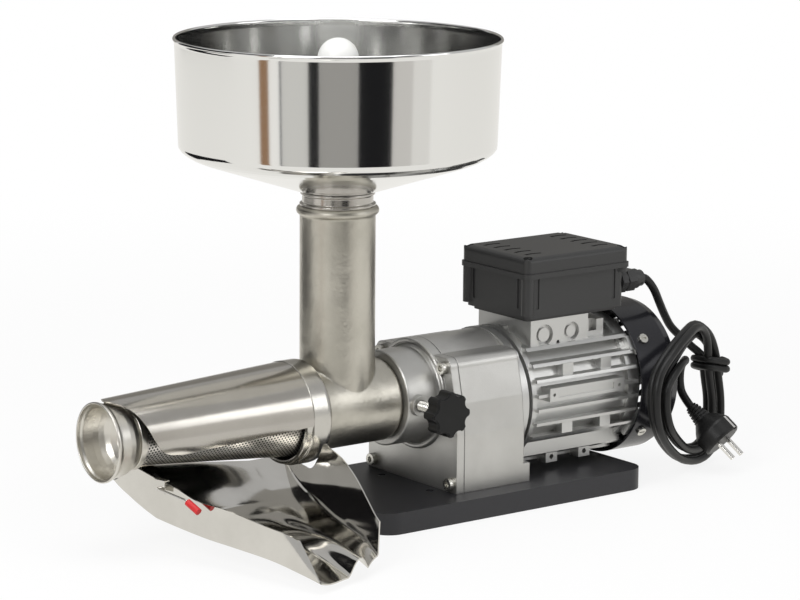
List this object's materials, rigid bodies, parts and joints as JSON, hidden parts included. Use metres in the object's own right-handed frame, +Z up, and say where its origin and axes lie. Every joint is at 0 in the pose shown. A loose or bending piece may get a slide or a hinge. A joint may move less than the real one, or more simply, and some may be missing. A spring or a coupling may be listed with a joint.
{
  "type": "electric tomato press",
  "caption": "Electric tomato press: a gear motor on a base plate drives a screw through a perforated strainer; round hopper and pusher above, juice tray below, skins outlet at the end.",
  "frame": {"origin": "middle of the base plate's underside along the screw, straight below the screw axis, on the table", "axes": "+X along the screw, from the skins outlet to the motor fan; +Y away from the user, who stands at the juice spout; +Z up"},
  "size_m": [0.66, 0.334, 0.417],
  "materials": {
    "black_paint": "satin",
    "gloss_black": "gloss",
    "zinc": "satin",
    "gearbox_aluminium": "satin",
    "raw_aluminium": "cast",
    "black_seal": "matte",
    "red_seal": "matte",
    "steel": "satin",
    "laminated_steel": "matte",
    "bronze": "satin",
    "copper": "satin",
    "black_plastic": "satin",
    "white_plastic": "satin",
    "grey_plastic": "matte",
    "red_plastic": "gloss",
    "cord_black": "matte",
    "nickel": "polished",
    "tinned_iron": "satin",
    "mirror_steel": "polished",
    "sheet_steel": "polished"
  },
  "bodies": {
    "stand": {"base_plate": "black_paint", "base_screws": "zinc", "gearbox_housing": "gearbox_aluminium", "gearbox_cover": "gearbox_aluminium", "cover_gasket": "black_seal", "cover_screws": "zinc", "output_bearings": "steel", "output_seal": "black_seal", "lay_bushes": "bronze", "motor_frame": "raw_aluminium", "motor_front_shield": "raw_aluminium", "motor_rear_shield": "raw_aluminium", "motor_bearings": "steel", "stator_core": "laminated_steel", "stator_windings": "copper", "fan_cover": "gloss_black", "fan_cover_screws": "zinc", "terminal_box": "black_plastic", "lid_gasket": "black_seal", "terminal_lid": "black_plastic", "lid_screws": "zinc", "capacitor": "grey_plastic", "cable_gland": "black_plastic", "cord_tube": "cord_black", "cord_hank": "cord_black", "plug_body": "cord_black", "plug_pins": "nickel", "casting": "tinned_iron", "shaft_seal": "red_seal", "strainer": "sheet_steel", "front_ring": "sheet_steel", "splash_guard": "mirror_steel", "outlet_cup": "mirror_steel"},
    "rotor": {"rotor_core": "laminated_steel", "motor_shaft": "steel", "motor_fan": "black_plastic"},
    "layshaft": {"lay_shaft": "steel", "lay_gear": "steel"},
    "output": {"output_shaft": "steel", "output_gear": "steel", "auger_core": "white_plastic", "auger_flight": "white_plastic", "auger_tang": "steel"},
    "clamp_carriage": {"clamp_stud": "zinc"},
    "clamp_knob": {"clamp_knob": "black_plastic"},
    "hopper": {"hopper_bowl": "mirror_steel", "hopper_outlet": "mirror_steel"},
    "pusher": {"pusher_rod": "white_plastic", "pusher_foot": "white_plastic", "pusher_head": "white_plastic"},
    "tray": {"tray": "sheet_steel", "tray_tab": "sheet_steel"},
    "tray_latch": {"latch_wire": "zinc", "latch_sleeve": "red_plastic"}
  },
  "joints": [
    {"name": "rotor_spin", "type": "hinge", "parent": "stand", "child": "rotor", "pos_m": [0.09, 0, 0.08701], "axis": [1, 0, 0], "continuous": true},
    {"name": "layshaft_spin", "type": "hinge", "parent": "stand", "child": "layshaft", "pos_m": [-0.01, 0.00774, 0.05596], "axis": [1, 0, 0], "continuous": true},
    {"name": "screw_spin", "type": "hinge", "parent": "stand", "child": "output", "pos_m": [-0.06, 0, 0.098], "axis": [1, 0, 0], "continuous": true},
    {"name": "clamp_travel", "type": "slide", "parent": "stand", "child": "clamp_carriage", "axis": [0, -1, 0], "range_m": [0, 0.008]},
    {"name": "clamp_turn", "type": "hinge", "parent": "clamp_carriage", "child": "clamp_knob", "pos_m": [-0.079, -0.08, 0.098], "axis": [0, -1, 0], "range_deg": [0, 2300]},
    {"name": "hopper_lift", "type": "slide", "parent": "stand", "child": "hopper", "axis": [0, 0, 1], "range_m": [0, 0.03]},
    {"name": "pusher_lift", "type": "slide", "parent": "stand", "child": "pusher", "axis": [0, 0, 1], "range_m": [0, 0.27]},
    {"name": "tray_slide", "type": "slide", "parent": "stand", "child": "tray", "axis": [0, -1, 0], "range_m": [0, 0.12]},
    {"name": "latch_swing", "type": "hinge", "parent": "tray", "child": "tray_latch", "pos_m": [-0.33438, -0.02692, 0.059], "axis": [0.9734, 0.2293, 0], "range_deg": [0, 60]}
  ],
  "couplings": [
    {"joint": "layshaft_spin", "follows": "rotor_spin", "ratio": -0.23077},
    {"joint": "screw_spin", "follows": "rotor_spin", "ratio": 0.061538},
    {"joint": "clamp_travel", "follows": "clamp_turn", "m_per_rad": 0.00019894}
  ]
}
